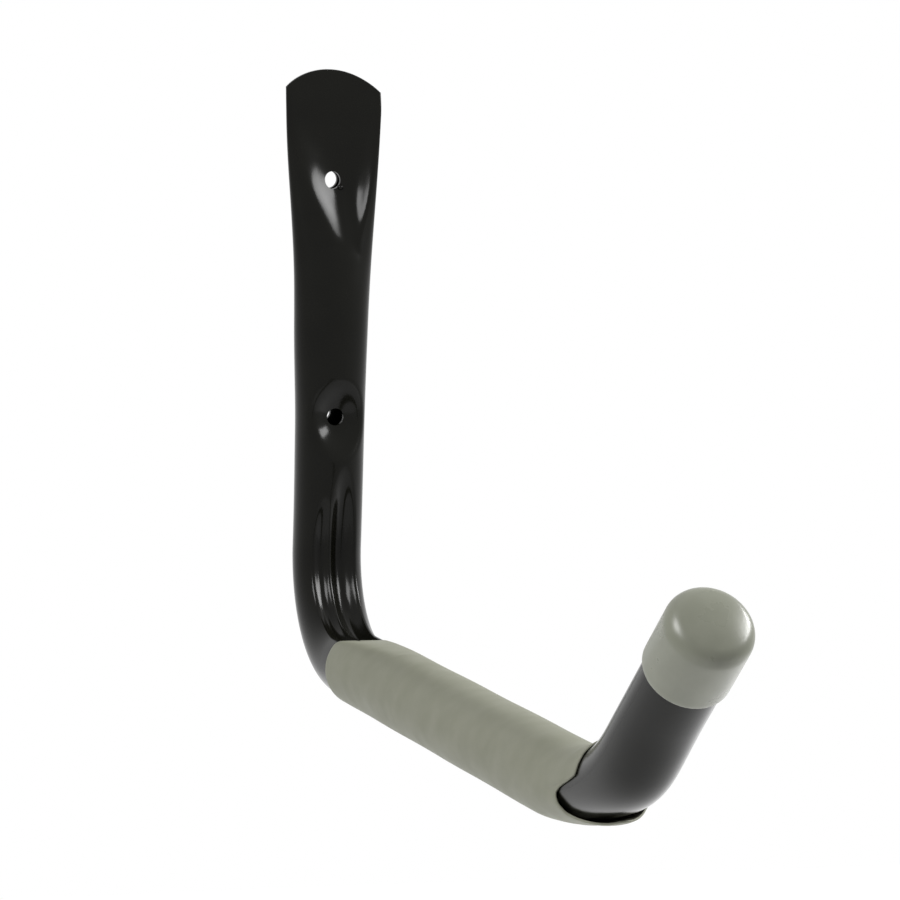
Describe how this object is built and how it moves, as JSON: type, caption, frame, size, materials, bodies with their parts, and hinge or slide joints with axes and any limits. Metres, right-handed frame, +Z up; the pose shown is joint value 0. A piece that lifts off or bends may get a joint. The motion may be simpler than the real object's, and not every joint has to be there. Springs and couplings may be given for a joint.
{
  "type": "wall storage hook",
  "caption": "Wall-mounted storage hook: a bent steel tube with a pressed, screw-holed leg, a long sleeved arm and an upturned capped tip.",
  "frame": {"origin": "On the wall plane, midway between the two screw holes", "axes": "+Y runs into the wall along the screws, -Y is the way the arm reaches out, +Z is up along the leg, X runs across the hook"},
  "size_m": [0.0322, 0.3471, 0.1974],
  "materials": {
    "enamel": "glossy black enamel on steel tube",
    "sleeve_vinyl": "matte grey vinyl sleeve",
    "cap_vinyl": "satin grey dipped vinyl"
  },
  "bodies": {
    "root": {"hook_tube": "enamel", "arm_sleeve": "sleeve_vinyl", "end_cap": "cap_vinyl"}
  },
  "joints": []
}
